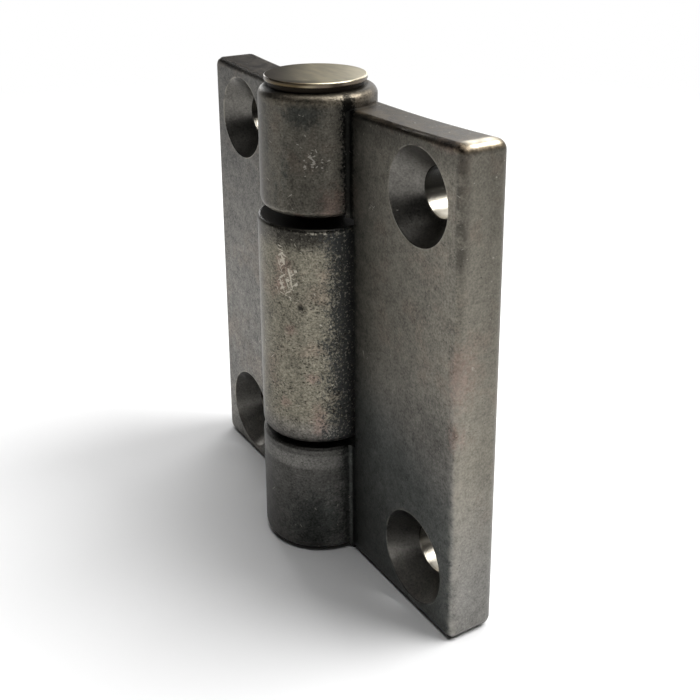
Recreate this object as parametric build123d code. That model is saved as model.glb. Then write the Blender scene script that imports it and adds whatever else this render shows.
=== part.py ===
from build123d import *
import os
from math import sqrt

# Cabinet hinge: two cast leaves with three knuckles on a headed pin, shown open flat.
# Millimetres, +Z up along the pin. The screw face of the leaves looks towards -Y and
# the mounting face towards +Y. The origin is the middle of the frame leaf's screw
# pattern, on its mounting face.

# leaves
LEAF_HEIGHT = 50.0        # along the pin
LEAF_REACH = 25.0         # pin axis to the outer edge
TOP_RISE = 0.6            # the hollowed top edge climbs this far from knuckle to outer edge
LEAF_THICK = 5.3
FACE_SETBACK = 0.1        # screw face behind the pin axis, so closed leaves clear
BACK_EDGE_R = 1.1         # rounding of the mounting face's edges and of the outer corners
FRONT_EDGE_R = 0.7        # rounding of the screw face's edges

# knuckles
KNUCKLE_D = 12.8
TOP_KNUCKLE_D = 12.4      # the top one is cast a little smaller
TOP_KNUCKLE_BACK = 0.2    # and this far towards the mounting face
OUTER_KNUCKLE_LEN = 12.8  # the frame leaf's two knuckles
KNUCKLE_RISE = 1.6        # top knuckle above the leaf's top edge
TOP_GAP = 1.0             # top knuckle to middle knuckle
BOTTOM_GAP = 0.45         # middle knuckle to bottom knuckle
KNUCKLE_END_R = 1.0       # rounding of the lower knuckle ends and of the very top
KNUCKLE_LIP_R = 0.4       # rounding of the ends that face up to another knuckle
ROOT_R = 0.4              # concave root between knuckle and screw face
NOTCH_GAP = 0.8           # round the other leaf's knuckles

# pin
PIN_D = 6.0
PIN_GAP = 0.05            # radial, in the middle knuckle, which turns on the pin
PIN_RECESS = 0.3          # pin end above the bottom knuckle's end
PIN_CHAMFER = 0.4
HEAD_D = 10.7             # clears the mounting face
HEAD_THICK = 0.56
HEAD_EDGE_R = 0.15
COLLAR_D = 9.9            # under the head, seated on the top knuckle
COLLAR_THICK = 0.5

# screw holes, two in each leaf
HOLE_D = 5.0
SINK_D = 9.6
SINK_DEPTH = 2.75
HOLE_PITCH = 38.4         # between the two holes of a leaf
HOLE_REACH = 18.2         # pin axis to the line of holes

KNUCKLE_R = KNUCKLE_D / 2
BACK = FACE_SETBACK + LEAF_THICK
TOP_END = LEAF_HEIGHT + KNUCKLE_RISE
TOP_START = TOP_END - OUTER_KNUCKLE_LEN
MIDDLE_END = TOP_START - TOP_GAP
MIDDLE_START = OUTER_KNUCKLE_LEN + BOTTOM_GAP
PIN_FRAME = Pos(-HOLE_REACH, -BACK, -LEAF_HEIGHT / 2)


def block(x0, x1, y0, y1, z0, z1):
    """Box between two corners."""
    return Pos((x0 + x1) / 2, (y0 + y1) / 2, (z0 + z1) / 2) * Box(x1 - x0, y1 - y0, z1 - z0)


def round_edges(body):
    """Rounds a leaf's outer edges, its screw face's less than the others."""
    split = FACE_SETBACK + 0.01
    body = fillet(body.edges().filter_by(lambda e: e.center().X > 0.01 and e.center().Y > split), BACK_EDGE_R)
    return fillet(body.edges().filter_by(lambda e: e.center().X > 0.01 and e.center().Y < split), FRONT_EDGE_R)


def plate():
    """Leaf on the +X side, from the pin axis to its rounded outer edge, with a hollowed top edge."""
    inner = (KNUCKLE_R, LEAF_HEIGHT)
    outer = (LEAF_REACH, LEAF_HEIGHT + TOP_RISE)
    outline = Polyline(inner, (0, LEAF_HEIGHT), (0, 0), (LEAF_REACH, 0), outer)
    outline += TangentArc(inner, outer, tangent=(1, 0))
    body = Pos(0, BACK, 0) * extrude(Plane.XZ * make_face(outline), LEAF_THICK)
    return round_edges(body)


def knuckle(z0, z1, low_r, high_r, radius=KNUCKLE_R, back=0):
    """Round barrel with rounded ends, cut off in line with the mounting face."""
    barrel = Pos(0, back, z0) * Cylinder(radius, z1 - z0, align=(Align.CENTER, Align.CENTER, Align.MIN))
    rims = barrel.edges().filter_by(GeomType.CIRCLE).sort_by(Axis.Z)
    barrel = fillet(rims[0], low_r)
    rims = barrel.edges().filter_by(GeomType.CIRCLE).sort_by(Axis.Z)
    barrel = fillet(rims[-1], high_r)
    return barrel - block(-KNUCKLE_D, KNUCKLE_D, BACK, KNUCKLE_D, z0 - 1, z1 + 1)


def notch(z0, z1):
    """Room in a leaf on the +X side for the other leaf's knuckle."""
    return block(-1, KNUCKLE_R + NOTCH_GAP, FACE_SETBACK - 1, BACK + 1, z0, z1)


def screw_holes():
    """Countersunk holes of a leaf on the +X side."""
    drill = Plane.XY * Circle(HOLE_D / 2)
    hole = extrude(drill, LEAF_THICK + 2)
    sink = Pos(0, 0, LEAF_THICK - SINK_DEPTH) * Cone(
        HOLE_D / 2, SINK_D / 2, SINK_DEPTH, align=(Align.CENTER, Align.CENTER, Align.MIN))
    lip = Pos(0, 0, LEAF_THICK) * Cylinder(SINK_D / 2, 1, align=(Align.CENTER, Align.CENTER, Align.MIN))
    tool = Pos(0, 0, -1) * hole + sink + lip
    tool = Rot(90, 0, 0) * tool
    mid = LEAF_HEIGHT / 2
    return [Pos(HOLE_REACH, BACK, mid + s * HOLE_PITCH / 2) * tool for s in (-1, 1)]


def root(z0, z1, radius=KNUCKLE_R, back=0):
    """Concave root where a knuckle runs into the screw face, rounded off like the leaf's edges."""
    far = radius + ROOT_R
    cy = FACE_SETBACK - ROOT_R
    cx = sqrt(far ** 2 - (cy - back) ** 2)
    k = radius / far
    touch = (k * cx, back + k * (cy - back))
    deep = FACE_SETBACK + 1
    corner = Polygon((0.8 * k * cx, deep), touch, (cx, cy), (cx, FACE_SETBACK), (cx, deep), align=None)
    web = Pos(0, 0, z0) * extrude(corner - Pos(cx, cy) * Circle(ROOT_R), z1 - z0)
    shell = block(0, LEAF_REACH, cy, BACK, 0, LEAF_HEIGHT)
    return web & fillet(shell.edges().filter_by(Axis.X), FRONT_EDGE_R)


def bore(radius, z0, z1):
    """Pin hole through a knuckle."""
    return Pos(0, 0, z0 - 1) * Cylinder(radius, z1 - z0 + 2, align=(Align.CENTER, Align.CENTER, Align.MIN))


def frame_leaf():
    """Leaf with the top and bottom knuckles."""
    leaf = plate() - notch(OUTER_KNUCKLE_LEN, TOP_START)
    leaf += knuckle(0, OUTER_KNUCKLE_LEN, KNUCKLE_END_R, KNUCKLE_LIP_R)
    top = (TOP_KNUCKLE_D / 2, TOP_KNUCKLE_BACK)
    leaf += knuckle(TOP_START, TOP_END, KNUCKLE_END_R, KNUCKLE_END_R, *top)
    leaf += root(0, OUTER_KNUCKLE_LEN)
    leaf += root(TOP_START, LEAF_HEIGHT, *top)
    leaf -= bore(PIN_D / 2, 0, OUTER_KNUCKLE_LEN)
    leaf -= bore(PIN_D / 2, TOP_START, TOP_END)
    return leaf - screw_holes()


def door_leaf():
    """Leaf with the middle knuckle, built on the +X side and then turned over to -X."""
    leaf = plate() - notch(-1, MIDDLE_START) - notch(MIDDLE_END, LEAF_HEIGHT + 1)
    leaf += knuckle(MIDDLE_START, MIDDLE_END, KNUCKLE_END_R, KNUCKLE_LIP_R)
    leaf += root(MIDDLE_START, MIDDLE_END)
    leaf -= bore(PIN_D / 2 + PIN_GAP, MIDDLE_START, MIDDLE_END)
    leaf -= screw_holes()
    return mirror(leaf, about=Plane.YZ)


def hinge_pin():
    """Pin with a thin flat head on a narrower collar."""
    low = (Align.CENTER, Align.CENTER, Align.MIN)
    shank = Pos(0, 0, PIN_RECESS) * Cylinder(PIN_D / 2, TOP_END - PIN_RECESS, align=low)
    shank = chamfer(shank.edges().filter_by(GeomType.CIRCLE).sort_by(Axis.Z)[0], PIN_CHAMFER)
    collar = Pos(0, 0, TOP_END) * Cylinder(COLLAR_D / 2, COLLAR_THICK, align=low)
    head = Pos(0, 0, TOP_END + COLLAR_THICK) * Cylinder(HEAD_D / 2, HEAD_THICK, align=low)
    head = fillet(head.edges().filter_by(GeomType.CIRCLE), HEAD_EDGE_R)
    return shank + collar + head


os.makedirs("parts", exist_ok=True)
for node, shape in (("frame_leaf", frame_leaf()), ("door_leaf", door_leaf()), ("hinge_pin", hinge_pin())):
    export_step(PIN_FRAME * shape, f"parts/{node}.step")
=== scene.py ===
import bpy
from math import radians
from mathutils import Euler, Matrix, Vector


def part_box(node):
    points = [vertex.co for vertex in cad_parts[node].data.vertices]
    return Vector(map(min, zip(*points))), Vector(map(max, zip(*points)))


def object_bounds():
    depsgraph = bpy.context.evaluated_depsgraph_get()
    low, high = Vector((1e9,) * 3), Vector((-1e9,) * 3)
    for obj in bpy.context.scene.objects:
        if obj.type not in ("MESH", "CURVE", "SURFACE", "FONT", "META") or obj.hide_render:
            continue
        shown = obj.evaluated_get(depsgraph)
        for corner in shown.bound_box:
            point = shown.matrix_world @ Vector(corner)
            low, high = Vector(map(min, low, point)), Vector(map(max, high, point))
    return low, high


# Cabinet hinge, dressed around its three CAD pieces. Metres, +Z up along the pin.

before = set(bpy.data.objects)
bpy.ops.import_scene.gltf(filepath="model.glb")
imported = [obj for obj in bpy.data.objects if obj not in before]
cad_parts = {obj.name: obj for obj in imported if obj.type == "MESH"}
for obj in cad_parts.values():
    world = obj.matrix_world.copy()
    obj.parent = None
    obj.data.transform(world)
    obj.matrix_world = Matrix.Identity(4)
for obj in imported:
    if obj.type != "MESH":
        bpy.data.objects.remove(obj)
cad_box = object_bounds()
frame_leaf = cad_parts["frame_leaf"]
door_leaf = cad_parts["door_leaf"]
hinge_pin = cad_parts["hinge_pin"]

# the hinge stands upright on the lower ends of its leaves
FLOOR_Z = cad_box[0][2]
PIN_X = (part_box("hinge_pin")[0].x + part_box("hinge_pin")[1].x) / 2
PIN_Y = (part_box("hinge_pin")[0].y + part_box("hinge_pin")[1].y) / 2
KNUCKLE_R = 0.0064
HOLE_Z = 0.0192           # screw holes above and below the middle
BORE_R = 0.0025
SINK_R = 0.0048
CONE_SLOPE = 0.836        # a countersink narrows this much for its depth
END_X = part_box("frame_leaf")[1].x
SCREW_FACE = PIN_Y + 0.0001
HEAD_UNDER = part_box("hinge_pin")[1].z - 0.00056
HEAD_R = 0.00535
BRIGHT_SIDE_X = 0.5327          # direction over the head, from its side with the painted dark reflection to its bright one
BRIGHT_SIDE_Y = 0.8463

# heights along the pin, from the middle of the leaves
LEAF_TOP = 0.0250
TOP_KNUCKLE_FOOT = 0.0138
MIDDLE_KNUCKLE_TOP = 0.0128
MIDDLE_KNUCKLE_FOOT = -0.01175
BOTTOM_KNUCKLE_LIP = -0.0139

# noise patterns, by how many features they have to the metre
TURNING_RINGS = 6000.0
SCRATCH_LINES = 5200.0
GRAIN = 4600.0
SPECKS = 4300.0
PITS = 4000.0
GRIT = 3800.0
RESIDUE_AND_SHADE_EDGE = 3400.0
HEAD_TURNING = 2600.0
WORN_RIM = 2200.0
RAGGED_EDGE = 1900.0
MOTTLE = 900.0
RIM_GAPS = 700.0
RESIDUE_AND_SHADE_PATCHES = 420.0
PIT_FIELDS = 330.0
TINTS = 260.0
CLOUDS = 170.0

# roughness, and how deep the bumps are
CAST_SMOOTHEST = 0.38
CAST_ROUGHEST = 0.54
RUBBED_SMOOTHER = 0.12    # bare marks are this much smoother
CONE_ROUGH = 0.33
HEAD_ROUGH = 0.28
COLLAR_ROUGH = 0.6
FLOOR_ROUGH = 0.9
CAST_RELIEF = 0.00006
TURNED_RELIEF = 0.000005

# painted shade: how light the lower countersinks start, against the upper ones
FRAME_LOW_HOLE = 0.30
DOOR_LOW_HOLE = 0.6

# a mask's edge lies between these distances outside what it covers
MASK_OUTER = 0.0001
MASK_INNER = 0.00005

# the three ways in which the scratches run, in radians
SCRATCH_TURNS = (0.35, 1.25, 2.30)

# base colours of both leaves
CONE_METAL = (0.125, 0.119, 0.108, 1)
# bore metal, lighter than the casting, with a painted highlight on its lower wall and painted shade on its
# upper wall
BORE_METAL = (0.38, 0.355, 0.30, 1)

# base colours of the frame leaf
FRAME_WARM = (0.128, 0.119, 0.099, 1)
FRAME_BROWN = (0.134, 0.117, 0.096, 1)
FRAME_COOL = (0.122, 0.1185, 0.110, 1)
# cooler colour of painted shade at the foot and in the root
FRAME_INNER = (0.106, 0.119, 0.113, 1)
FRAME_TOP = (0.144, 0.116, 0.080, 1)
FRAME_RUST = (0.150, 0.100, 0.084, 1)
# painted dark reflection down the outer front edge
FRAME_EDGE_DARK = (0.045, 0.041, 0.036, 1)
FRAME_PIT = (0.024, 0.022, 0.020, 1)
FRAME_BARE = (0.36, 0.34, 0.30, 1)
# painted highlight on the outer top corner
CORNER_LIGHT = (0.66, 0.595, 0.47, 1)

# base colours of the door leaf
DOOR_WARM = (0.170, 0.163, 0.148, 1)
DOOR_BROWN = (0.178, 0.161, 0.140, 1)
DOOR_OLIVE = (0.176, 0.163, 0.128, 1)
DOOR_OLIVE_BROWN = (0.186, 0.160, 0.126, 1)
DOOR_KNUCKLE = (0.172, 0.162, 0.146, 1)
DOOR_TOP = (0.190, 0.156, 0.118, 1)
DOOR_RUST = (0.205, 0.135, 0.115, 1)
DOOR_PIT = (0.026, 0.023, 0.019, 1)
DOOR_BARE = (0.46, 0.43, 0.36, 1)
# residue and painted shade on the middle knuckle's flank
RESIDUE_AND_SHADE_BLACK = (0.038, 0.041, 0.042, 1)
RESIDUE_AND_SHADE_GREY = (0.070, 0.074, 0.075, 1)
DENT_BLACK = (0.015, 0.014, 0.013, 1)
# painted shade on the middle knuckle's ends, in the gaps
KNUCKLE_END_BLACK = (0.016, 0.015, 0.014, 1)

# base colours of the pin
HEAD_PALE = (0.71, 0.625, 0.435, 1)
HEAD_GOLDEN = (0.66, 0.590, 0.420, 1)
# painted dark reflection on one side of the pin head
HEAD_DARK_SIDE = (0.075, 0.054, 0.028, 1)
# painted dark reflection on the head's rim
HEAD_RIM_DULL = (0.10, 0.078, 0.062, 1)
HEAD_RIM_DARK = (0.06, 0.046, 0.030, 1)
# painted shade under the head
COLLAR_SHADE = (0.026, 0.021, 0.016, 1)

# patches of stain, wear and painted shade: the middle, the size, and how far it is squeezed along X, Y and Z
FRAME_INKY = [((PIN_X + 0.0052, PIN_Y - 0.0036, -0.0215), 0.0046, (1, 1, 0.8)),
              ((-0.0136, -0.0098, 0.0246), 0.0030, (1, 1, 1.6)),
              ((-0.0153, -0.0111, 0.0190), 0.0022, (3, 3, 0.5)),
              ((-0.0165, -0.0116, 0.0170), 0.0022, (3.5, 3.5, 0.5)),
              ((-0.0178, -0.0118, 0.0210), 0.0022, (3.5, 3.5, 0.5))]
FRAME_RUST_MARKS = [((-0.01205, -0.0071, 0.0152), 0.0020, (1, 1, 0.7)),
                    ((-0.0142, -0.0100, 0.0139), 0.0011, (1, 1, 1.5)),
                    ((0.0064, -0.0049, 0.0035), 0.0022, (2.0, 1, 0.5)),
                    ((0.0062, -0.0050, -0.0025), 0.0016, (1.6, 1, 0.7)),
                    ((0.0041, -0.0049, 0.0250), 0.0018, (0.6, 1.6, 2.0)),
                    ((-0.0050, -0.0047, 0.0247), 0.0016, (0.5, 1.6, 2.0))]
FRAME_SCUFFS = [((-0.0076, -0.0053, 0.0163), 0.0012, (1, 1, 1)),
                ((-0.0087, -0.0053, -0.0002), 0.0012, (1, 1, 1)),
                ((0.0047, -0.0053, -0.0154), 0.0010, (1, 1, 1)),
                ((-0.0129, -0.0090, 0.0197), 0.0022, (1, 1, 1))]
DOOR_RUST_MARKS = [((-0.0154, -0.0112, 0.0085), 0.0016, (1, 1, 0.8)),
                   ((-0.0158, -0.0113, 0.0066), 0.0011, (1, 1, 0.7)),
                   ((-0.0148, -0.0109, 0.0016), 0.0010, (1, 1, 1.1)),
                   ((-0.0127, -0.0086, -0.0088), 0.0015, (1.3, 1.3, 0.6)),
                   ((-0.0131, -0.0092, -0.0038), 0.0010, (1, 1, 1)),
                   ((-0.0155, -0.0112, -0.0070), 0.0010, (1, 1, 1.2)),
                   ((-0.0270, -0.0040, 0.0245), 0.0030, (0.7, 0.7, 0.9))]
DOOR_SCUFFS = [((-0.0151, -0.0110, 0.0069), 0.0021, (1, 1, 0.75)),
               ((-0.0156, -0.0112, 0.0095), 0.0014, (1.6, 1.6, 0.6))]
# painted shade under the gap above the middle knuckle
SHADE_UNDER_GAP = [((-0.01352, -0.00976, 0.0121), 0.0030, (0.6, 0.6, 1.3))]
SMALL_DENT = [((-0.0138, -0.0100, 0.0042), 0.0006, (1, 1, 1))]

# camera, for a square picture of 700 pixels
CAMERA_PLACE = Vector((0.07738, -0.05946, 0.04952))
CAMERA_AZIMUTH = 57.83    # degrees, 0 looks along +Y and 90 along -X
CAMERA_DOWN = 17.28       # degrees below level
CAMERA_ROLL = 0.07
CAMERA_LENS = 55.87       # for a sensor 36 mm wide
CAMERA_SHIFT = (-0.0227, -0.2328)
SENSOR_WIDTH = 36.0
CLIP_START = 0.005

# floor, world and lamps
FLOOR_WIDTH = 8.0
FLOOR_GREY = 0.9
WHITE_FROM = 0.12         # the floor turns plain white between these distances from the pin
WHITE_BY = 0.26
BACKDROP_FADES = 0.05     # sine of the elevation up to which metal shows the white backdrop
BACKDROP_TOP = 0.14       # and where it is gone
ROOM_LEVEL = 0.02
MIDDLE = (PIN_X, PIN_Y, 0)
FLOOR_BEHIND = (PIN_X - 0.30, PIN_Y + 0.20, FLOOR_Z)


def deselect():
    bpy.ops.object.select_all(action="DESELECT")


def feed(tree, socket, value):
    """Sets an input socket, or links another node's output to it."""
    if isinstance(value, bpy.types.NodeSocket):
        tree.links.new(value, socket)
    else:
        socket.default_value = value


def node(tree, kind, **sockets):
    """A shader node with its named inputs set or linked."""
    made = tree.nodes.new(kind)
    for name, value in sockets.items():
        feed(tree, made.inputs[name.replace("_", " ")], value)
    return made


def maths(tree, operation, first, second=0.0):
    made = tree.nodes.new("ShaderNodeMath")
    made.operation = operation
    feed(tree, made.inputs[0], first)
    feed(tree, made.inputs[1], second)
    return made.outputs[0]


def plus(tree, first, second):
    return maths(tree, "ADD", first, second)


def times(tree, first, second):
    return maths(tree, "MULTIPLY", first, second)


def minus(tree, first, second):
    return maths(tree, "SUBTRACT", first, second)


def most(tree, first, second):
    return maths(tree, "MAXIMUM", first, second)


def slope(tree, value, start, end, low=0.0, high=1.0, smooth=True):
    """Goes from low, where value is start, to high, where it is end."""
    made = tree.nodes.new("ShaderNodeMapRange")
    made.interpolation_type = "SMOOTHSTEP" if smooth else "LINEAR"
    feed(tree, made.inputs["Value"], value)
    feed(tree, made.inputs["From Min"], start)
    feed(tree, made.inputs["From Max"], end)
    feed(tree, made.inputs["To Min"], low)
    feed(tree, made.inputs["To Max"], high)
    return made.outputs["Result"]


def between(tree, mask, low, high, smooth=True):
    """Goes from low, where the mask is nought, to high, where it is one."""
    return slope(tree, mask, 0.0, 1.0, low, high, smooth)


def scaled(tree, value, mask, share, smooth=True):
    """The value, brought to this share of itself where the mask is one."""
    return times(tree, value, between(tree, mask, 1.0, share, smooth))


def varied(tree, value, pattern, gain):
    """The value made higher and lower by a pattern that swings about nought."""
    return times(tree, value, plus(tree, times(tree, pattern, gain), 1.0))


def band(tree, value, middle, core, fade):
    """One within core of the middle, fading to nothing over fade."""
    off = maths(tree, "ABSOLUTE", minus(tree, value, middle))
    return slope(tree, off, core + fade, core)


def mixed(tree, factor, first, second, how="MIX"):
    """Colour mix; how is the blend type."""
    made = tree.nodes.new("ShaderNodeMix")
    made.data_type = "RGBA"
    made.blend_type = how
    feed(tree, made.inputs[0], factor)
    feed(tree, made.inputs[6], first)
    feed(tree, made.inputs[7], second)
    return made.outputs[2]


def noise(tree, place, scale, detail=2.0, rough=0.5):
    made = node(tree, "ShaderNodeTexNoise", Vector=place, Scale=scale, Detail=detail, Roughness=rough)
    return made.outputs["Fac"]


def stretched(tree, place, scale):
    return node(tree, "ShaderNodeMapping", Vector=place, Scale=scale).outputs["Vector"]


def vector_maths(tree, operation, first, second):
    made = tree.nodes.new("ShaderNodeVectorMath")
    made.operation = operation
    feed(tree, made.inputs[0], first)
    feed(tree, made.inputs[1], second)
    return made


def new_group(name, inputs, outputs):
    """An empty shader node group, with its inside ends."""
    tree = bpy.data.node_groups.new(name, "ShaderNodeTree")
    for label, kind in inputs:
        tree.interface.new_socket(label, in_out="INPUT", socket_type=kind)
    for label, kind in outputs:
        tree.interface.new_socket(label, in_out="OUTPUT", socket_type=kind)
    return tree, tree.nodes.new("NodeGroupInput").outputs, tree.nodes.new("NodeGroupOutput").inputs


def placed(tree, group, **sockets):
    """The group put into a material, with its inputs set; gives its outputs."""
    made = tree.nodes.new("ShaderNodeGroup")
    made.node_tree = group
    for name, value in sockets.items():
        feed(tree, made.inputs[name.replace("_", " ")], value)
    return made.outputs


NUMBER = "NodeSocketFloat"
POINT = "NodeSocketVector"


def around_pin_group():
    """Where a point lies around the pin: angle in radians from the frame leaf's side, radius, height."""
    tree, given, out = new_group("around_pin", [("Position", POINT)],
                                 [("Angle", NUMBER), ("Radius", NUMBER),
                                  ("Height", NUMBER), ("Knuckle", NUMBER)])
    split = node(tree, "ShaderNodeSeparateXYZ", Vector=given["Position"])
    across = minus(tree, split.outputs["X"], PIN_X)
    deep = minus(tree, split.outputs["Y"], PIN_Y)
    feed(tree, out["Angle"], maths(tree, "ARCTAN2", deep, across))
    radius = maths(tree, "SQRT", plus(tree, times(tree, across, across), times(tree, deep, deep)))
    feed(tree, out["Radius"], radius)
    feed(tree, out["Height"], split.outputs["Z"])
    round_part = slope(tree, radius, KNUCKLE_R + 0.0006, KNUCKLE_R + 0.0002)
    feed(tree, out["Knuckle"], times(tree, round_part, slope(tree, split.outputs["Y"], -0.0006, -0.0024)))
    return tree


def cast_grain_group():
    """Blasted casting: grain, sideways streaks, mottling, small pits and bright specks."""
    tree, given, out = new_group("cast_grain",
                                 [("Position", POINT), ("Pitting", NUMBER), ("Sparkle", NUMBER)],
                                 [("Tone", NUMBER), ("Streaks", NUMBER), ("Tint", NUMBER), ("Pits", NUMBER),
                                  ("Specks", NUMBER), ("Height", NUMBER)])
    place = given["Position"]
    wide = stretched(tree, place, (0.7, 0.7, 1.25))
    grain = noise(tree, place, GRAIN, 2.0, 0.65)
    mottle = noise(tree, place, MOTTLE, 3.0, 0.6)
    cloud = noise(tree, place, CLOUDS, 2.0, 0.5)
    tone = plus(tree, times(tree, grain, 0.55), times(tree, mottle, 0.30))
    tone = plus(tree, tone, times(tree, cloud, 0.15))
    feed(tree, out["Tone"], minus(tree, tone, 0.5))
    streaks = noise(tree, stretched(tree, place, (0.45, 0.45, 1.3)), GRAIN, 2.0, 0.6)
    feed(tree, out["Streaks"], minus(tree, streaks, 0.5))
    feed(tree, out["Tint"], slope(tree, noise(tree, place, TINTS, 3.0, 0.6), 0.50, 0.68))
    hollow = noise(tree, wide, PITS, 1.0, 0.5)
    patchy = times(tree, plus(tree, noise(tree, place, PIT_FIELDS, 1.0), -0.5), 0.35)
    limit = plus(tree, plus(tree, times(tree, given["Pitting"], 0.12), 0.24), patchy)
    pits = slope(tree, hollow, limit, minus(tree, limit, 0.07))
    feed(tree, out["Pits"], pits)
    limit = minus(tree, 0.76, times(tree, given["Sparkle"], 0.12))
    specks = noise(tree, place, SPECKS, 1.0, 0.5)
    feed(tree, out["Specks"], slope(tree, specks, limit, plus(tree, limit, 0.06)))
    bumpy = plus(tree, times(tree, grain, 0.45), times(tree, mottle, 0.55))
    feed(tree, out["Height"], minus(tree, bumpy, times(tree, pits, 0.7)))
    return tree


def blotch_group():
    """One ragged patch around a place."""
    tree, given, out = new_group("blotch",
                                 [("Position", POINT), ("Middle", POINT), ("Size", NUMBER), ("Flat", POINT)],
                                 [("Mask", NUMBER)])
    offset = vector_maths(tree, "SUBTRACT", given["Position"], given["Middle"]).outputs["Vector"]
    squeezed = vector_maths(tree, "MULTIPLY", offset, given["Flat"]).outputs["Vector"]
    length = vector_maths(tree, "LENGTH", squeezed, (0, 0, 0)).outputs["Value"]
    reach = maths(tree, "DIVIDE", length, given["Size"])
    ragged = plus(tree, noise(tree, given["Position"], RAGGED_EDGE, 3.0, 0.7), -0.5)
    ragged = plus(tree, reach, times(tree, ragged, 1.8))
    feed(tree, out["Mask"], slope(tree, ragged, 1.05, 0.15))
    return tree


def scratch_group():
    """Short thin scratches in three directions, where Amount lets them through."""
    tree, given, out = new_group("scratches", [("Position", POINT), ("Amount", NUMBER)],
                                 [("Mask", NUMBER)])
    lines = None
    for turn in SCRATCH_TURNS:
        tilted = node(tree, "ShaderNodeMapping", Vector=given["Position"], Rotation=(0.0, turn, 0.0))
        drawn_out = stretched(tree, tilted.outputs["Vector"], (1.0, 0.4, 0.16))
        line = noise(tree, drawn_out, SCRATCH_LINES, 0.0)
        limit = minus(tree, 0.84, times(tree, given["Amount"], 0.16))
        line = slope(tree, line, limit, plus(tree, limit, 0.05))
        lines = line if lines is None else most(tree, lines, line)
    feed(tree, out["Mask"], lines)
    return tree


def sink_group():
    """Machined countersinks and bores: masks, worn rim, turning rings and place round the hole."""
    tree, given, out = new_group("countersinks", [("Position", POINT), ("Middle X", NUMBER)],
                                 [("Inside", NUMBER), ("Bore", NUMBER), ("Rim", NUMBER), ("Rings", NUMBER),
                                  ("Above", NUMBER), ("Across", NUMBER), ("Lower", NUMBER)])
    split = node(tree, "ShaderNodeSeparateXYZ", Vector=given["Position"])
    across = minus(tree, split.outputs["X"], given["Middle X"])
    side = maths(tree, "SIGN", split.outputs["Z"])
    above = minus(tree, split.outputs["Z"], times(tree, side, HOLE_Z))
    radius = maths(tree, "SQRT", plus(tree, times(tree, across, across), times(tree, above, above)))
    depth = minus(tree, split.outputs["Y"], SCREW_FACE)
    widest = plus(tree, radius, times(tree, depth, CONE_SLOPE))
    cone = slope(tree, widest, SINK_R + MASK_OUTER, SINK_R + MASK_INNER)
    cone = times(tree, cone, slope(tree, depth, 0.00002, 0.00010))
    bore = slope(tree, radius, BORE_R + MASK_OUTER, BORE_R + MASK_INNER)
    feed(tree, out["Inside"], most(tree, cone, bore))
    feed(tree, out["Bore"], bore)
    rim = band(tree, radius, SINK_R, 0.00004, 0.00012)
    rim = times(tree, rim, slope(tree, depth, 0.0006, 0.0003))
    gaps = slope(tree, noise(tree, given["Position"], RIM_GAPS), 0.38, 0.60)
    feed(tree, out["Rim"], times(tree, rim, gaps))
    deep = node(tree, "ShaderNodeCombineXYZ", X=radius, Y=split.outputs["Y"]).outputs["Vector"]
    feed(tree, out["Rings"], noise(tree, deep, TURNING_RINGS, 2.0, 0.5))
    feed(tree, out["Above"], above)
    feed(tree, out["Across"], across)
    feed(tree, out["Lower"], slope(tree, side, 1.0, -1.0, smooth=False))
    return tree


AROUND_PIN = around_pin_group()
CAST_GRAIN = cast_grain_group()
BLOTCH = blotch_group()
SCRATCHES = scratch_group()
COUNTERSINKS = sink_group()


def empty_material(name):
    """A metal with its shader, and the Object coordinates that its patterns read."""
    material = bpy.data.materials.new(name)
    material.use_nodes = True
    tree = material.node_tree
    shader = tree.nodes["Principled BSDF"]
    shader.inputs["Metallic"].default_value = 1.0
    place = tree.nodes.new("ShaderNodeTexCoord").outputs["Object"]
    return material, tree, shader, place


def relief(tree, shader, height, depth, strength):
    bump = node(tree, "ShaderNodeBump", Height=height, Distance=depth, Strength=strength)
    tree.links.new(bump.outputs["Normal"], shader.inputs["Normal"])


def spots(tree, place, patches):
    """The strongest of several blotches: middle, size and how far each is squeezed along X, Y and Z."""
    mask = None
    for middle, size, flat in patches:
        one = placed(tree, BLOTCH, Position=place, Middle=middle, Size=size, Flat=flat)["Mask"]
        mask = one if mask is None else most(tree, mask, one)
    return mask


def grey(tree, value):
    return node(tree, "ShaderNodeCombineColor", Red=value, Green=value, Blue=value).outputs["Color"]


def lit(tree, colour, light):
    """The colour made lighter or darker."""
    return mixed(tree, 1.0, colour, grey(tree, light), "MULTIPLY")


def hole_finish(tree, shader, sink, cast, colour, bright, low_hole):
    """Machined metal in the countersinks and bores, and the roughness of the whole leaf.

    The colours take in the photograph's own shade: dark above on one side, lighter below, and a
    dark upper wall in the bore. low_hole is how light the lower hole's countersink starts.
    """
    # painted light and shade in the countersinks: lighter below, darker above on one side
    cone = slope(tree, sink["Above"], -0.0010, -0.0034, 1.0, 2.4)
    upper = slope(tree, sink["Above"], -0.0006, 0.0008)
    shade = times(tree, upper, slope(tree, sink["Across"], -0.0006, 0.0018))
    cone = scaled(tree, cone, shade, 0.22)
    lower = slope(tree, sink["Above"], -0.0006, -0.0030, low_hole, 1.5)
    cone = scaled(tree, cone, sink["Lower"], lower)
    cone = lit(tree, CONE_METAL, varied(tree, cone, cast["Tone"], 2.4))
    # painted shade on the bore's upper wall, painted highlight on its lower wall
    bore = slope(tree, sink["Above"], -0.0002, -0.0020, 0.03, 1.0)
    bore = lit(tree, BORE_METAL, bore)
    colour = mixed(tree, sink["Inside"], colour, cone)
    colour = mixed(tree, sink["Bore"], colour, bore)
    tree.links.new(colour, shader.inputs["Base Color"])
    rough = slope(tree, cast["Tone"], -0.25, 0.25, CAST_SMOOTHEST, CAST_ROUGHEST, smooth=False)
    rough = plus(tree, rough, times(tree, bright, -RUBBED_SMOOTHER))
    rough = between(tree, sink["Inside"], rough, CONE_ROUGH)
    tree.links.new(rough, shader.inputs["Roughness"])
    rings = times(tree, times(tree, sink["Rings"], sink["Inside"]), 0.5)
    relief(tree, shader, plus(tree, cast["Height"], rings), CAST_RELIEF, 0.5)


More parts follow.
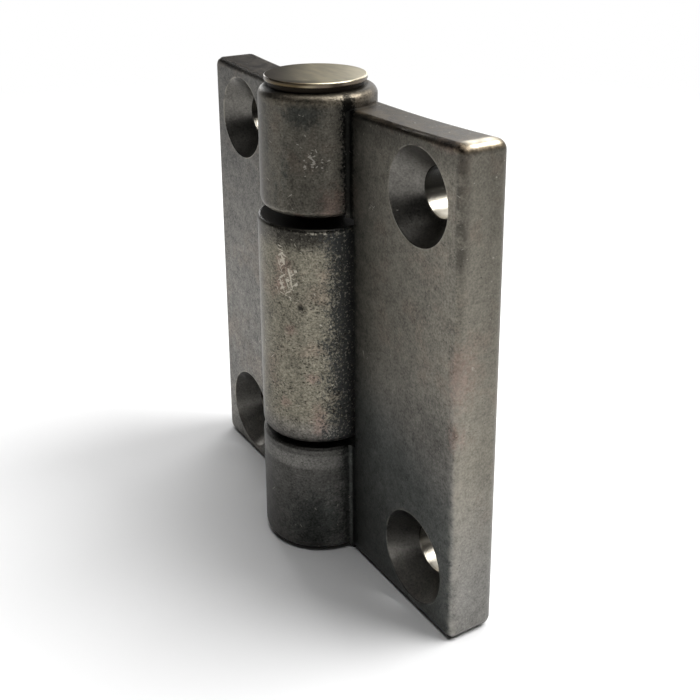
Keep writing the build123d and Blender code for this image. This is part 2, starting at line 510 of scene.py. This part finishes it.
def frame_faces(tree, place, pin, split, plate):
    """How light the flat faces are: dark by the knuckles and at the foot, lighter outwards.

    This and frame_knuckles take in the photograph's own shade.
    """
    height = pin["Height"]
    leaf = slope(tree, pin["Radius"], 0.0070, 0.0240, 0.54, 1.48, smooth=False)
    leaf = times(tree, leaf, slope(tree, height, 0.010, -0.016, 1.0, 1.22))
    # painted shadow at the foot of the screw face, by the knuckles
    foot_reach = slope(tree, height, -0.0020, -0.0130, 0.0045, 0.0300, smooth=False)
    foot_shadow = times(tree, slope(tree, minus(tree, foot_reach, pin["Radius"]), -0.0085, 0.0090), plate)
    foot_shadow = times(tree, foot_shadow, slope(tree, split["Y"], SCREW_FACE + 0.0008, SCREW_FACE + 0.0001))
    leaf = scaled(tree, leaf, foot_shadow, 0.60, smooth=False)
    leaf = scaled(tree, leaf, band(tree, pin["Radius"], 0.0165, 0.0015, 0.0040), 0.94)
    # painted shade in darker bands low down and near the outer end
    dusk = band(tree, height, -0.0075, 0.0020, 0.0060)
    dusk = times(tree, dusk, slope(tree, pin["Radius"], 0.0125, 0.0170))
    leaf = scaled(tree, leaf, dusk, 0.82)
    beside = band(tree, pin["Radius"], 0.0215, 0.0012, 0.0030)
    beside = times(tree, beside, slope(tree, height, 0.003, -0.006))
    leaf = scaled(tree, leaf, beside, 0.88)
    # painted shade just under the top edge
    crease = slope(tree, height, LEAF_TOP - 0.0038, LEAF_TOP - 0.0003)
    crease = times(tree, crease, slope(tree, split["Y"], SCREW_FACE + 0.0005, SCREW_FACE))
    leaf = scaled(tree, leaf, crease, 0.62)

    # the end face: painted light, lighter near the screw face and downwards
    end = slope(tree, height, 0.022, -0.010, 1.00, 1.58, smooth=False)
    end = times(tree, end, slope(tree, split["Y"], SCREW_FACE + 0.0012, SCREW_FACE + 0.0038, 1.14, 0.93))
    at_end = slope(tree, split["X"], END_X - 0.0006, END_X - 0.0001)
    # the top face: painted shade, dark and mottled, with a painted highlight by the outer corner
    top = slope(tree, split["X"], -0.0120, 0.0040, 0.33, 0.40, smooth=False)
    top = times(tree, top, slope(tree, split["X"], 0.0040, 0.0062, 1.0, 2.2))
    top = times(tree, top, slope(tree, noise(tree, place, MOTTLE, 4.0, 0.7), 0.35, 0.65, 0.74, 1.26))
    at_top = times(tree, slope(tree, height, LEAF_TOP - 0.0004, LEAF_TOP), plate)
    light = between(tree, at_end, leaf, end)
    light = between(tree, at_top, light, top)
    return light, foot_shadow, at_end, at_top


def frame_knuckles(tree, place, height, angle, cast):
    """How light the two knuckles are, as painted light and shade: darker low down, painted highlights on the
    top one's shoulder and lower end and on the bottom one's lip and lower side, painted shade under the head
    and in bands, with the inky patches.
    """
    # painted shade, darker lower down; painted highlight at the top knuckle's lower end
    barrel = slope(tree, height, 0.002, -0.010, 0.77, 0.66)
    barrel = scaled(tree, barrel, band(tree, height, TOP_KNUCKLE_FOOT, 0.0003, 0.0007), 2.2)
    # painted highlight on the top knuckle's rounded shoulder
    shoulder_highlight = slope(tree, height, LEAF_TOP, LEAF_TOP + 0.0010)
    shoulder_highlight = times(tree, shoulder_highlight, slope(tree, angle, -1.5, -0.9, 1.05, 2.0))
    barrel = times(tree, barrel, most(tree, shoulder_highlight, 1.0))
    # painted shade on the knuckle's top face under the head
    barrel = times(tree, barrel, slope(tree, height, LEAF_TOP + 0.0012, LEAF_TOP + 0.0015, 1.0, 0.25))
    # painted highlight on the bottom knuckle's lip
    lip_highlight = band(tree, height, BOTTOM_KNUCKLE_LIP, 0.0005, 0.0009)
    lip_highlight = times(tree, lip_highlight, slope(tree, angle, -0.2, -1.1, 1.5, 1.9))
    barrel = times(tree, barrel, most(tree, lip_highlight, 1.0))
    inky = spots(tree, place, FRAME_INKY)
    upper = slope(tree, height, TOP_KNUCKLE_FOOT - 0.0008, TOP_KNUCKLE_FOOT + 0.0007)
    shade = times(tree, band(tree, angle, -0.72, 0.16, 0.36), upper)
    barrel = scaled(tree, barrel, shade, 0.70)
    shade = times(tree, slope(tree, angle, -1.25, -1.65), upper)
    barrel = scaled(tree, barrel, shade, 0.82)
    # painted highlight on the bottom knuckle's lower side
    lower = times(tree, slope(tree, angle, -0.75, -0.25), slope(tree, height, -0.0130, -0.0220))
    barrel = scaled(tree, barrel, lower, 1.8)
    barrel = scaled(tree, barrel, inky, 0.58)
    barrel = varied(tree, barrel, cast["Streaks"], 0.8)
    return barrel, shoulder_highlight, inky


def frame_root_shade(tree, height, split, cast):
    """Painted shade in the root between knuckle and leaf, less on the bottom one."""
    across = minus(tree, split["X"], PIN_X + KNUCKLE_R)
    deep = minus(tree, split["Y"], SCREW_FACE)
    from_root = maths(tree, "SQRT", plus(tree, times(tree, across, across), times(tree, deep, deep)))
    at_top_knuckle = slope(tree, height, TOP_KNUCKLE_FOOT - 0.0008, TOP_KNUCKLE_FOOT + 0.0002)
    reach = between(tree, at_top_knuckle, 0.0018, 0.0011, smooth=False)
    root = slope(tree, plus(tree, from_root, times(tree, cast["Tone"], 0.002)), reach, 0.0003)
    root_shade_share = between(tree, at_top_knuckle, 0.22, 0.10, smooth=False)
    root_shade_share = slope(tree, height, -0.008, -0.014, root_shade_share, 0.50)
    return root, root_shade_share


def frame_wear(tree, place, height, split, cast, sink, colour):
    """Pits, specks, scratches, a worn outer edge with a painted highlight, a painted dark reflection down
    that edge and the painted highlight on the top corner; gives the colour and how bright the marks are.
    """
    edge = maths(tree, "ABSOLUTE", minus(tree, split["X"], END_X - 0.0004))
    edge = times(tree, slope(tree, edge, 0.0008, 0.0002),
                 slope(tree, split["Y"], SCREW_FACE + 0.0012, SCREW_FACE + 0.0004))
    ragged = plus(tree, noise(tree, place, MOTTLE, 3.0, 0.6), -0.5)
    # painted dark reflection down the outer front edge, near the top
    edge_dark_reflection = slope(tree, height, LEAF_TOP, LEAF_TOP - 0.0007)
    edge_dark_reflection = times(tree, edge, times(tree, slope(tree, height, 0.0120, 0.0155), edge_dark_reflection))
    edge_dark_reflection = times(tree, edge_dark_reflection, slope(tree, ragged, -0.14, 0.04))
    colour = mixed(tree, times(tree, edge_dark_reflection, 0.65), colour, FRAME_EDGE_DARK)
    # worn outer edge with a painted highlight, lower down
    rub_and_highlight = times(tree, edge, slope(tree, plus(tree, times(tree, ragged, 0.02), height), 0.0090, 0.0010))
    rub_and_highlight = times(tree, rub_and_highlight, slope(tree, ragged, -0.16, 0.10))
    scuffed = spots(tree, place, FRAME_SCUFFS)
    scratch = placed(tree, SCRATCHES, Position=place, Amount=scuffed)["Mask"]
    bright = most(tree, times(tree, cast["Specks"], 0.5), times(tree, scratch, 0.8))
    bright = most(tree, bright, times(tree, sink["Rim"], 0.5))
    bright = most(tree, bright, times(tree, rub_and_highlight, 0.46))
    colour = mixed(tree, times(tree, cast["Pits"], 0.65), colour, FRAME_PIT)
    colour = mixed(tree, times(tree, bright, 0.6), colour, FRAME_BARE)

    # the bright outer end of the top edge, as the photograph's light leaves it
    corner = times(tree, slope(tree, split["X"], END_X - 0.0018, END_X - 0.0010),
                   slope(tree, height, LEAF_TOP, LEAF_TOP + 0.0004))
    corner = times(tree, corner, slope(tree, split["Y"], SCREW_FACE + 0.0005, SCREW_FACE + 0.0016))
    corner = times(tree, corner, slope(tree, split["Y"], -0.0005, -0.0018))
    glint = times(tree, corner, slope(tree, ragged, -0.15, 0.10, 0.6, 1.0))
    colour = mixed(tree, glint, colour, CORNER_LIGHT)
    return colour, most(tree, bright, corner)


def frame_leaf_steel():
    """Dark warm grey casting, with painted shade darkest in the root by the knuckles and painted light at its
    outer end.
    """
    material, tree, shader, place = empty_material("frame_leaf_steel")
    pin = placed(tree, AROUND_PIN, Position=place)
    cast = placed(tree, CAST_GRAIN, Position=place, Pitting=0.30, Sparkle=0.15)
    sink = placed(tree, COUNTERSINKS, Position=place, Middle_X=0.0)
    split = node(tree, "ShaderNodeSeparateXYZ", Vector=place).outputs
    height = pin["Height"]
    angle = pin["Angle"]
    knuckle = pin["Knuckle"]
    plate = minus(tree, 1.0, knuckle)

    light, foot_shadow, at_end, at_top = frame_faces(tree, place, pin, split, plate)
    barrel, shoulder_highlight, inky = frame_knuckles(tree, place, height, angle, cast)
    light = between(tree, knuckle, light, barrel)
    root, root_shade_share = frame_root_shade(tree, height, split, cast)
    # painted shade in the root
    light = scaled(tree, light, root, root_shade_share)
    gain = between(tree, at_end, 3.6, 2.4)
    light = varied(tree, light, cast["Tone"], gain)

    warm = mixed(tree, cast["Tint"], FRAME_WARM, FRAME_BROWN)
    cool = slope(tree, plus(tree, height, times(tree, at_end, 0.010)), 0.006, -0.012)
    colour = mixed(tree, cool, warm, FRAME_COOL)
    # cooler colour for the painted shade at the foot and in the root, and on the inky patches
    inner = most(tree, foot_shadow, most(tree, root, inky))
    inner = times(tree, inner, minus(tree, 1.0, at_end))
    colour = mixed(tree, times(tree, inner, 0.50), colour, FRAME_INNER)
    colour = mixed(tree, times(tree, most(tree, times(tree, shoulder_highlight, 0.25), at_top), 0.95), colour,
                   FRAME_TOP)
    rust = spots(tree, place, FRAME_RUST_MARKS)
    colour = mixed(tree, times(tree, rust, 0.5), colour, FRAME_RUST)
    colour = lit(tree, colour, light)

    colour, bright = frame_wear(tree, place, height, split, cast, sink, colour)
    hole_finish(tree, shader, sink, cast, colour, bright, FRAME_LOW_HOLE)
    return material


def door_faces(tree, place, pin, plate, cast):
    """How light the leaf, its top edge and the middle knuckle are, with the photograph's own shade."""
    height = pin["Height"]
    angle = pin["Angle"]
    # painted light and shade: lighter low down, darker by the knuckle
    leaf = slope(tree, height, 0.022, -0.004, 0.55, 0.97)
    leaf = times(tree, leaf, slope(tree, pin["Radius"], 0.0066, 0.0100, 0.7, 1.0))
    at_top = times(tree, slope(tree, height, LEAF_TOP - 0.0006, LEAF_TOP), plate)
    # painted shade on the dark mottled top face
    top = slope(tree, noise(tree, place, MOTTLE, 4.0, 0.7), 0.35, 0.65, 0.13, 0.33)
    leaf = between(tree, at_top, leaf, top)
    # painted light and shade round the middle knuckle, darker near its top
    barrel = slope(tree, angle, -1.75, -1.25, 0.95, 1.02)
    barrel = scaled(tree, barrel, band(tree, angle, -0.55, 0.12, 0.22), 1.18)
    near_top = slope(tree, height, MIDDLE_KNUCKLE_TOP - 0.0004, MIDDLE_KNUCKLE_TOP - 0.0030, 0.45, 1.0)
    barrel = times(tree, barrel, near_top)
    # painted shade under the gap above the middle knuckle
    gap_shade = spots(tree, place, SHADE_UNDER_GAP)
    barrel = scaled(tree, barrel, gap_shade, 0.42)
    # painted shade at the middle knuckle's lower end
    under = slope(tree, height, MIDDLE_KNUCKLE_FOOT + 0.00255, MIDDLE_KNUCKLE_FOOT + 0.00015)
    under = times(tree, under, slope(tree, angle, -0.25, -0.50))
    barrel = scaled(tree, barrel, under, 0.50)
    barrel = varied(tree, barrel, cast["Streaks"], 1.0)
    return leaf, barrel, at_top


def flank_residue_and_shade(tree, place, angle, knuckle):
    """Residue and painted shade on the flank that turns into the frame leaf, ragged where it thins out."""
    ragged = plus(tree, angle, times(tree, plus(tree, noise(tree, place, RESIDUE_AND_SHADE_EDGE, 2.0, 0.7), -0.5), 1.5))
    ragged = plus(tree, ragged, times(tree, plus(tree, noise(tree, place, RESIDUE_AND_SHADE_PATCHES, 2.0), -0.5), 0.5))
    flank = times(tree, times(tree, slope(tree, ragged, -0.52, -0.20), slope(tree, angle, 1.0, 0.6)), knuckle)
    return flank


def door_wear(tree, place, pin, cast, sink, flank, colour):
    """Residue and painted shade on the flank, pits, specks, scratches, worn rims and painted shade on the
    knuckle's ends; gives the colour and how bright the marks are.
    """
    height = pin["Height"]
    angle = pin["Angle"]
    knuckle = pin["Knuckle"]
    scuffed = spots(tree, place, DOOR_SCUFFS)
    scratch = placed(tree, SCRATCHES, Position=place, Amount=times(tree, scuffed, 1.5))["Mask"]
    grit = slope(tree, noise(tree, place, GRIT, 1.0), 0.60, 0.68)
    sharp = most(tree, times(tree, cast["Specks"], 0.6), times(tree, times(tree, flank, grit), 0.55))
    dots = times(tree, times(tree, band(tree, angle, -0.04, 0.03, 0.05), knuckle),
                 slope(tree, noise(tree, place, GRIT, 1.0), 0.57, 0.66))
    rim = band(tree, height, MIDDLE_KNUCKLE_TOP - 0.00035, 0.00010, 0.00012)
    rim = times(tree, rim, band(tree, angle, -0.35, 0.35, 0.25))
    rim = times(tree, times(tree, rim, knuckle), slope(tree, noise(tree, place, WORN_RIM, 2.0), 0.46, 0.60))
    sharp = most(tree, sharp, times(tree, rim, 0.9))
    bright = most(tree, most(tree, sharp, scratch), times(tree, dots, 0.8))
    bright = most(tree, bright, times(tree, sink["Rim"], 0.5))
    # residue and painted shade on the flank
    residue_and_shade = mixed(tree, slope(tree, angle, -0.25, 0.05), RESIDUE_AND_SHADE_BLACK, RESIDUE_AND_SHADE_GREY)
    colour = mixed(tree, times(tree, flank, 0.90), colour, residue_and_shade)
    colour = mixed(tree, times(tree, cast["Pits"], 0.72), colour, DOOR_PIT)
    colour = mixed(tree, times(tree, bright, 0.7), colour, DOOR_BARE)
    dent = spots(tree, place, SMALL_DENT)
    colour = mixed(tree, times(tree, dent, 0.9), colour, DENT_BLACK)
    # painted shade on the middle knuckle's ends, in the gaps
    upper_end = slope(tree, height, MIDDLE_KNUCKLE_TOP - 0.00012, MIDDLE_KNUCKLE_TOP - 0.00001)
    lower_end = slope(tree, height, MIDDLE_KNUCKLE_FOOT + 0.00015, MIDDLE_KNUCKLE_FOOT - 0.00005)
    knuckle_end_shade = times(tree, knuckle, most(tree, upper_end, lower_end))
    colour = mixed(tree, times(tree, knuckle_end_shade, 0.85), colour, KNUCKLE_END_BLACK)
    return colour, bright


def door_leaf_steel():
    """Lighter olive grey casting, most worn and speckled on the middle knuckle."""
    material, tree, shader, place = empty_material("door_leaf_steel")
    pin = placed(tree, AROUND_PIN, Position=place)
    height = pin["Height"]
    angle = pin["Angle"]
    knuckle = pin["Knuckle"]
    plate = minus(tree, 1.0, knuckle)
    # the worn field of the middle knuckle: off its left flank, and off its two ends
    field = slope(tree, height, MIDDLE_KNUCKLE_FOOT + 0.00095, MIDDLE_KNUCKLE_FOOT + 0.00375)
    field = times(tree, slope(tree, angle, -2.0, -1.65), field)
    near_top = slope(tree, height, MIDDLE_KNUCKLE_TOP - 0.0006, MIDDLE_KNUCKLE_TOP - 0.0030, 0.45, 1.0)
    field = times(tree, field, near_top)
    field = times(tree, field, knuckle)
    cast = placed(tree, CAST_GRAIN, Position=place, Pitting=between(tree, field, 0.35, 1.05),
                  Sparkle=between(tree, knuckle, 0.15, 0.45))
    sink = placed(tree, COUNTERSINKS, Position=place, Middle_X=2 * PIN_X)

    leaf, barrel, at_top = door_faces(tree, place, pin, plate, cast)
    light = between(tree, knuckle, leaf, barrel)
    light = varied(tree, light, cast["Tone"], between(tree, knuckle, 5.0, 4.4))


    warm = mixed(tree, cast["Tint"], DOOR_WARM, DOOR_BROWN)
    olive = mixed(tree, cast["Tint"], DOOR_OLIVE, DOOR_OLIVE_BROWN)
    plain = mixed(tree, knuckle, warm, DOOR_KNUCKLE)
    colour = mixed(tree, field, plain, olive)
    colour = mixed(tree, times(tree, at_top, 0.7), colour, DOOR_TOP)
    rust = spots(tree, place, DOOR_RUST_MARKS)
    colour = mixed(tree, times(tree, rust, 0.45), colour, DOOR_RUST)
    colour = lit(tree, colour, light)

    flank = flank_residue_and_shade(tree, place, angle, knuckle)
    colour, bright = door_wear(tree, place, pin, cast, sink, flank, colour)
    hole_finish(tree, shader, sink, cast, colour, bright, DOOR_LOW_HOLE)
    return material


def pin_steel():
    """Satin polished head, with a painted dark reflection to one side and round its edge, over a collar
    painted dark as shade under the head.
    """
    material, tree, shader, place = empty_material("pin_steel")
    pin = placed(tree, AROUND_PIN, Position=place)
    split = node(tree, "ShaderNodeSeparateXYZ", Vector=place).outputs
    off_x = minus(tree, split["X"], PIN_X)
    off_y = minus(tree, split["Y"], PIN_Y)
    side = plus(tree, times(tree, off_x, BRIGHT_SIDE_X), times(tree, off_y, BRIGHT_SIDE_Y))
    front = plus(tree, times(tree, off_x, BRIGHT_SIDE_Y), times(tree, off_y, -BRIGHT_SIDE_X))
    # painted dark reflection towards one side of the head and round its edge
    dark_side = slope(tree, side, 0.0006, -0.0046)
    edge = times(tree, slope(tree, pin["Radius"], 0.0030, 0.0050), slope(tree, side, 0.0018, -0.0018))
    edge = times(tree, edge, slope(tree, front, -0.0010, 0.0020))
    dark_side = most(tree, dark_side, edge)
    colour = mixed(tree, slope(tree, side, 0.0000, 0.0030), HEAD_PALE, HEAD_GOLDEN)
    colour = mixed(tree, times(tree, dark_side, 0.97), colour, HEAD_DARK_SIDE)
    turned = node(tree, "ShaderNodeCombineXYZ", X=pin["Radius"], Z=pin["Height"]).outputs["Vector"]
    grain = noise(tree, turned, HEAD_TURNING, 1.0)
    smear = noise(tree, stretched(tree, place, (0.35, 1.0, 1.0)), MOTTLE, 2.0)
    colour = lit(tree, colour, slope(tree, smear, 0.3, 0.7, 0.84, 1.10))
    # painted dark reflection on the rim's side: duller on the bright side, darker on the other
    rim = slope(tree, pin["Radius"], HEAD_R - 0.00015, HEAD_R - 0.00005)
    right = slope(tree, side, -0.0012, 0.0008)
    dull = slope(tree, pin["Height"], HEAD_UNDER + 0.00047, HEAD_UNDER + 0.00041)
    shine = slope(tree, pin["Height"], HEAD_UNDER + 0.00026, HEAD_UNDER + 0.00032)
    colour = mixed(tree, times(tree, times(tree, rim, right), times(tree, dull, 0.92)), colour, HEAD_RIM_DULL)
    colour = mixed(tree, times(tree, times(tree, rim, minus(tree, 1.0, right)), times(tree, shine, 0.92)),
                   colour, HEAD_RIM_DARK)
    # painted shade on the collar under the head
    under = slope(tree, pin["Height"], HEAD_UNDER + 0.00003, HEAD_UNDER - 0.00002)
    colour = mixed(tree, under, colour, COLLAR_SHADE)
    tree.links.new(colour, shader.inputs["Base Color"])
    tree.links.new(between(tree, under, HEAD_ROUGH, COLLAR_ROUGH), shader.inputs["Roughness"])
    relief(tree, shader, grain, TURNED_RELIEF, 0.10)
    return material


frame_leaf.data.materials[0] = frame_leaf_steel()
door_leaf.data.materials[0] = door_leaf_steel()
hinge_pin.data.materials[0] = pin_steel()


def floor_material():
    """Pale floor that takes the hinge's shadow, and is plain white further out."""
    material = bpy.data.materials.new("pale_floor")
    material.use_nodes = True
    tree = material.node_tree
    shader = tree.nodes["Principled BSDF"]
    shader.inputs["Base Color"].default_value = (FLOOR_GREY, FLOOR_GREY, FLOOR_GREY, 1)
    shader.inputs["Roughness"].default_value = FLOOR_ROUGH
    place = tree.nodes.new("ShaderNodeTexCoord").outputs["Object"]
    off = vector_maths(tree, "LENGTH", place, (0, 0, 0)).outputs["Value"]
    rays = tree.nodes.new("ShaderNodeLightPath").outputs
    seen = most(tree, rays["Is Glossy Ray"], rays["Is Transmission Ray"])
    seen = most(tree, rays["Is Camera Ray"], seen)
    white = node(tree, "ShaderNodeEmission", Color=(1, 1, 1, 1), Strength=1.0)
    both = tree.nodes.new("ShaderNodeMixShader")
    feed(tree, both.inputs[0], times(tree, seen, slope(tree, off, WHITE_FROM, WHITE_BY)))
    tree.links.new(shader.outputs["BSDF"], both.inputs[1])
    tree.links.new(white.outputs["Emission"], both.inputs[2])
    tree.links.new(both.outputs["Shader"], tree.nodes["Material Output"].inputs["Surface"])
    return material


def floor_sheet():
    deselect()
    bpy.ops.mesh.primitive_plane_add(size=FLOOR_WIDTH, location=(PIN_X, PIN_Y, FLOOR_Z))
    floor = bpy.context.object
    floor.name = "floor"
    floor.data.materials.append(floor_material())


def soft_lamp(name, place, aim, size, power):
    """Round lamp turned to a point, with its width in metres and its power in watts."""
    data = bpy.data.lights.new(name, "AREA")
    data.shape = "DISK"
    data.size = size
    data.energy = power
    lamp = bpy.data.objects.new(name, data)
    bpy.context.scene.collection.objects.link(lamp)
    lamp.location = place
    lamp.rotation_euler = (Vector(aim) - Vector(place)).to_track_quat("-Z", "Y").to_euler()


def world_light():
    """Dim room that the camera sees as white all over, and metal only low down."""
    world = bpy.data.worlds.new("studio")
    bpy.context.scene.world = world
    world.use_nodes = True
    tree = world.node_tree
    look = tree.nodes.new("ShaderNodeTexCoord").outputs["Generated"]
    rise = node(tree, "ShaderNodeSeparateXYZ", Vector=look).outputs["Z"]
    rays = tree.nodes.new("ShaderNodeLightPath").outputs
    mirrored = times(tree, rays["Is Glossy Ray"], slope(tree, rise, BACKDROP_TOP, BACKDROP_FADES))
    seen = most(tree, rays["Is Transmission Ray"], mirrored)
    seen = most(tree, rays["Is Camera Ray"], seen)
    light = tree.nodes["Background"]
    light.inputs["Color"].default_value = (1, 1, 1, 1)
    feed(tree, light.inputs["Strength"], slope(tree, seen, 0.0, 1.0, ROOM_LEVEL, 1.0, smooth=False))


floor_sheet()
world_light()
soft_lamp("key_lamp", (PIN_X + 0.14, PIN_Y + 0.22, 0.37), MIDDLE, size=0.30, power=2.3)
soft_lamp("top_lamp", (PIN_X, PIN_Y, 0.48), MIDDLE, size=0.30, power=1.0)
soft_lamp("back_lamp", (PIN_X - 0.35, PIN_Y + 0.25, 0.50), FLOOR_BEHIND, size=0.50, power=1.3)
soft_lamp("rim_lamp", (PIN_X - 0.50, PIN_Y + 0.06, 0.12), MIDDLE, size=0.12, power=0.35)
soft_lamp("window", (PIN_X - 0.34, PIN_Y + 0.49, 0.20), MIDDLE, size=0.50, power=1.2)


def set_camera():
    data = bpy.data.cameras.new("camera")
    data.lens = CAMERA_LENS
    data.sensor_width = SENSOR_WIDTH
    data.shift_x, data.shift_y = CAMERA_SHIFT
    data.clip_start = CLIP_START
    camera = bpy.data.objects.new("camera", data)
    bpy.context.scene.collection.objects.link(camera)
    turn = Euler((radians(90 - CAMERA_DOWN), 0, radians(CAMERA_AZIMUTH))).to_matrix()
    turn = turn @ Matrix.Rotation(radians(-CAMERA_ROLL), 3, "Z")
    camera.matrix_world = Matrix.Translation(CAMERA_PLACE) @ turn.to_4x4()
    bpy.context.scene.camera = camera


set_camera()

bpy.context.scene.view_settings.view_transform = "Standard"
